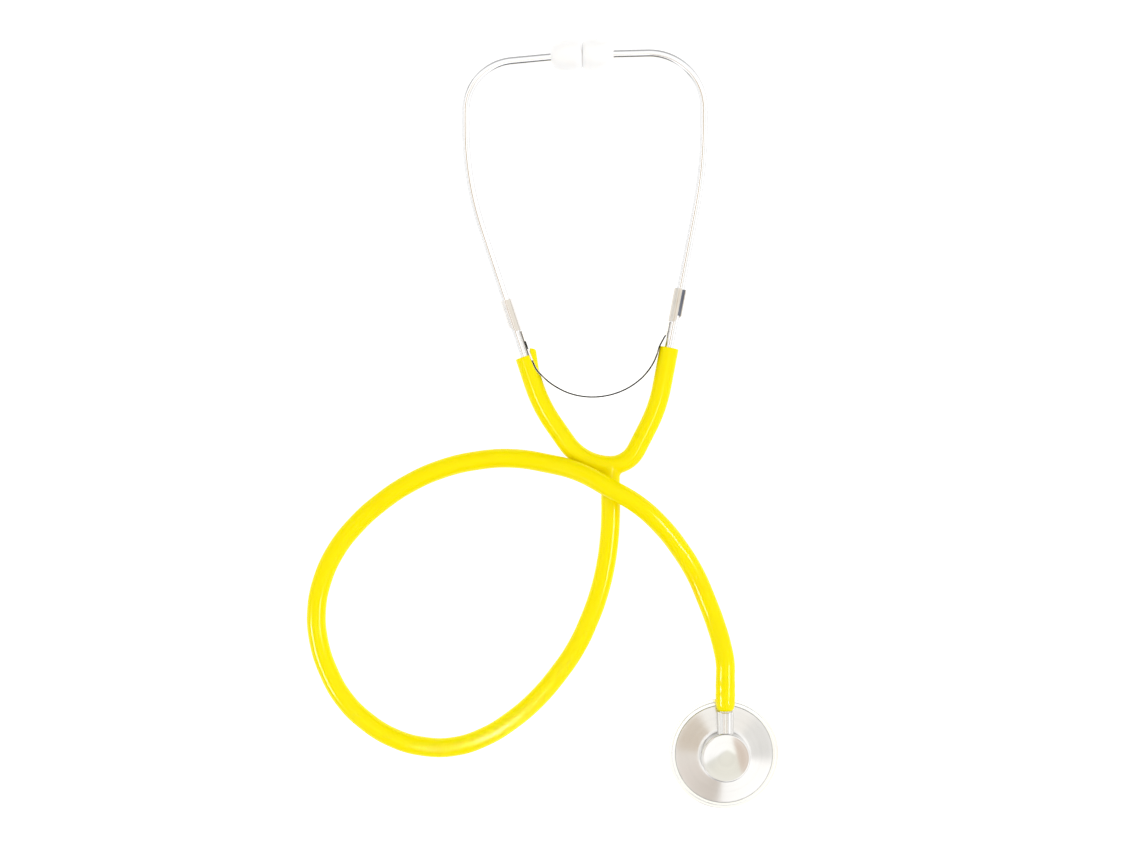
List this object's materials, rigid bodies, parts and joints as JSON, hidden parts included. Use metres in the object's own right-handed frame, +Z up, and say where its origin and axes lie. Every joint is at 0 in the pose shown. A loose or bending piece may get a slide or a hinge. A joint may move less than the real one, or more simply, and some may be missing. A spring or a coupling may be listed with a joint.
{
  "type": "toy stethoscope",
  "caption": "Child's stethoscope with a bright hose looped over its yoke, sprung metal ear tubes with soft tips, and a flat metal chest piece.",
  "frame": {"origin": "table height, at the middle of the box round everything but the free hose", "axes": "+Y from the chest piece to the ear tips, +Z up from the table it lies on"},
  "size_m": [0.1983, 0.3229, 0.0164],
  "materials": {
    "yellow_pvc": "glossy soft PVC, dipped and extruded",
    "tip_plastic": "satin white moulding",
    "ear_tube_metal": "bright plated tube",
    "spring_steel": "bright rolled strip",
    "turned_aluminium": "turned and brushed in rings, boss polished",
    "stem_metal": "polished",
    "ring_metal": "bright turned ring",
    "diaphragm_film": "stiff pale sheet"
  },
  "bodies": {
    "tubing": {"y_junction": "yellow_pvc", "main_tube": "yellow_pvc", "hose_socket": "yellow_pvc", "leaf_spring": "spring_steel"},
    "left_binaural": {"left_arm": "yellow_pvc", "left_ear_tube": "ear_tube_metal", "left_spring_sleeve": "spring_steel"},
    "right_binaural": {"right_arm": "yellow_pvc", "right_ear_tube": "ear_tube_metal", "right_spring_sleeve": "spring_steel"},
    "left_tip": {"left_ear_tip": "tip_plastic"},
    "right_tip": {"right_ear_tip": "tip_plastic"},
    "chestpiece": {"chest_stem": "stem_metal", "chest_head": "turned_aluminium"},
    "rim": {"rim_ring": "ring_metal", "diaphragm": "diaphragm_film"}
  },
  "joints": [
    {"name": "left_spread", "type": "hinge", "parent": "tubing", "child": "left_binaural", "pos_m": [-0.02624, -0.00342, 0.00422], "axis": [0, -0.0163, 0.9999], "range_deg": [0, 25], "stiffness_Nm_per_rad": 0.3, "springref_deg": -5.73, "deforming": ["leaf_spring", "left_arm"]},
    {"name": "right_spread", "type": "hinge", "parent": "tubing", "child": "right_binaural", "pos_m": [0.00828, -0.00544, 0.00419], "axis": [0, 0.0163, -0.9999], "range_deg": [0, 25], "stiffness_Nm_per_rad": 0.3, "springref_deg": -5.73, "deforming": ["leaf_spring", "right_arm"]},
    {"name": "left_tip_turn", "type": "hinge", "parent": "left_binaural", "child": "left_tip", "pos_m": [-0.02263, 0.15456, 0.0068], "axis": [0.9956, 0.0941, 0.0015], "continuous": true},
    {"name": "right_tip_turn", "type": "hinge", "parent": "right_binaural", "child": "right_tip", "pos_m": [-0.01135, 0.15492, 0.00681], "axis": [-0.9997, -0.0262, -0.0004], "continuous": true},
    {"name": "chestpiece_swivel", "type": "hinge", "parent": "tubing", "child": "chestpiece", "pos_m": [0.0426, -0.11905, 0.0108], "axis": [0, -1, 0], "continuous": true},
    {"name": "ring_turn", "type": "hinge", "parent": "chestpiece", "child": "rim", "pos_m": [0.0426, -0.13805, 0], "axis": [0, 0, 1], "continuous": true}
  ]
}
